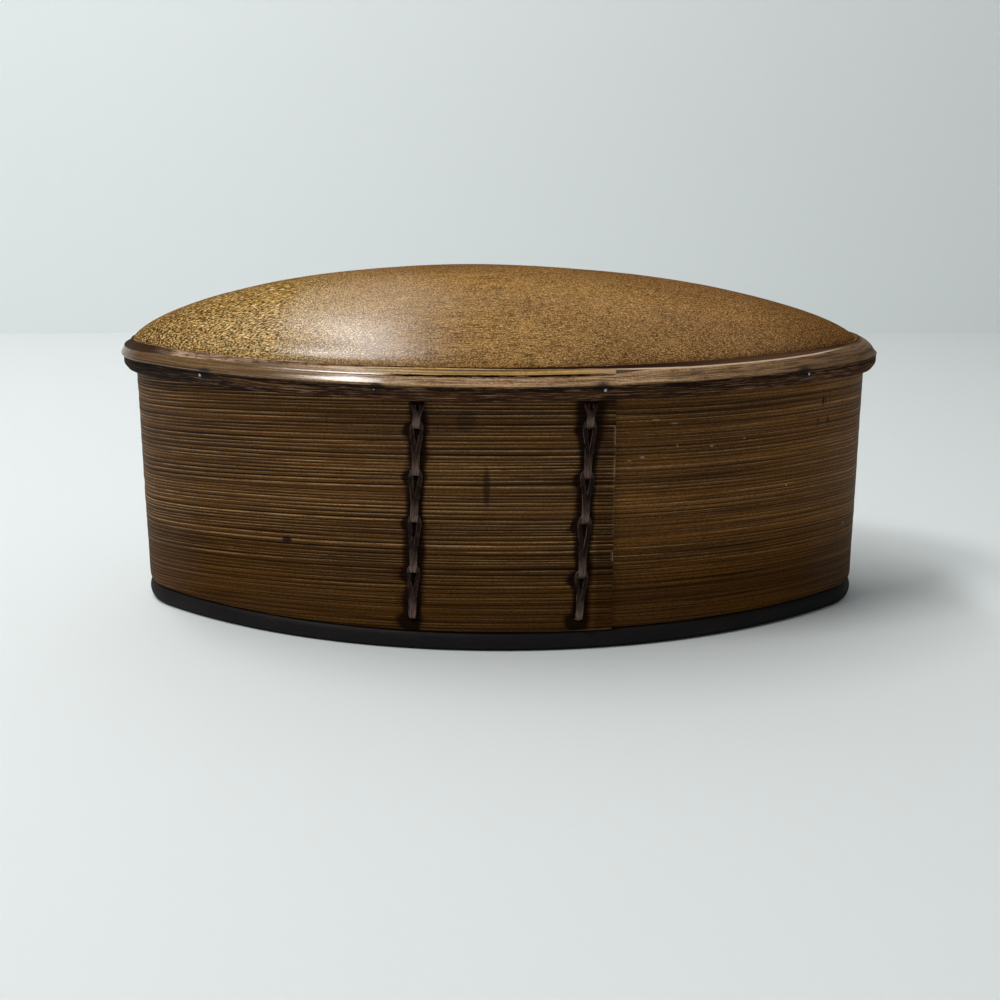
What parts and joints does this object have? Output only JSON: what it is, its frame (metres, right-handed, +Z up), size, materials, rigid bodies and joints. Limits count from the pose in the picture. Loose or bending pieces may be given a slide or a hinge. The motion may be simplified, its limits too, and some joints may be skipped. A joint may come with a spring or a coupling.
{
  "type": "tobacco box",
  "caption": "Oval bentwood box with a lapped side band laced with bark, a base board and a carved domed lid that lifts off.",
  "frame": {"origin": "centre of the underside, on the surface that the box stands on", "axes": "+X along the box's length, -Y towards the laced front, +Z up"},
  "size_m": [0.2487, 0.1306, 0.1107],
  "materials": {
    "base_wood": "blackened, satin",
    "band_wood": "brushed grain, old varnish, satin",
    "bark": "dark bark, worn satin",
    "lid_wood": "polished tan, fine pores",
    "hoop_wood": "blackish brown, satin",
    "nail_iron": "tarnished"
  },
  "bodies": {
    "box": {"base_board": "base_wood", "side_band": "band_wood", "left_lacing": "bark", "right_lacing": "bark"},
    "lid": {"lid_board": "lid_wood", "lid_hoop": "hoop_wood", "lid_nails": "nail_iron"}
  },
  "joints": [
    {"name": "lid_lift", "type": "slide", "parent": "box", "child": "lid", "axis": [0, 0, 1], "range_m": [0, 0.06]}
  ]
}
